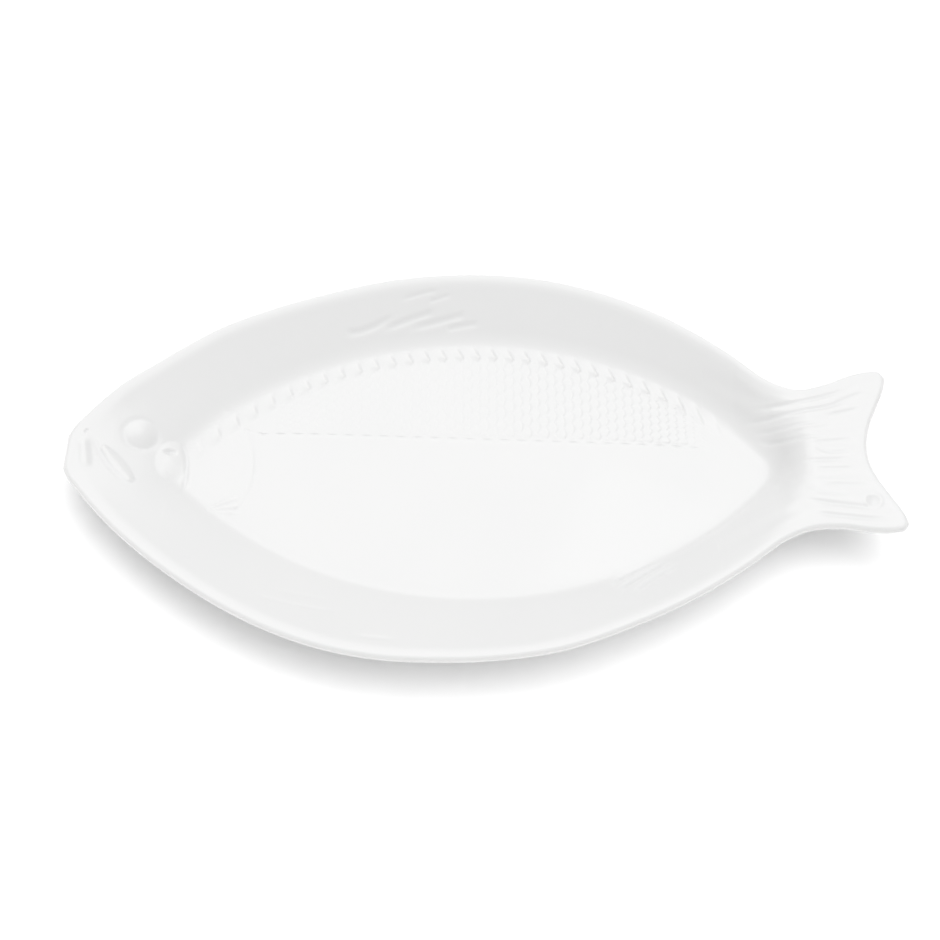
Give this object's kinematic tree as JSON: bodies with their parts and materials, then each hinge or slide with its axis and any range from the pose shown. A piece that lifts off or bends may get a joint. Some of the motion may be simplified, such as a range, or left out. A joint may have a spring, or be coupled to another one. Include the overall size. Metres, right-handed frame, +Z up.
{
  "type": "fish shaped platter",
  "caption": "Fish shaped serving platter of white glazed porcelain with a shallow well, modelled scales, head and fanned tail",
  "frame": {"origin": "bottom centre of the platter's box, on the surface that it stands on", "axes": "+X from the nose to the tail, +Y from the belly to the back of the fish, +Z up"},
  "size_m": [0.4, 0.2222, 0.0253],
  "materials": {
    "glazed_porcelain": "white porcelain under a clear gloss glaze",
    "bare_foot": "bare porcelain, left unglazed and ground flat where it stands"
  },
  "bodies": {
    "root": {"well_floor": "glazed_porcelain", "head": "glazed_porcelain", "back_wall": "glazed_porcelain", "belly_wall": "glazed_porcelain", "tail_root": "glazed_porcelain", "tail_fin": "glazed_porcelain", "foot_ring": "bare_foot"}
  },
  "joints": []
}
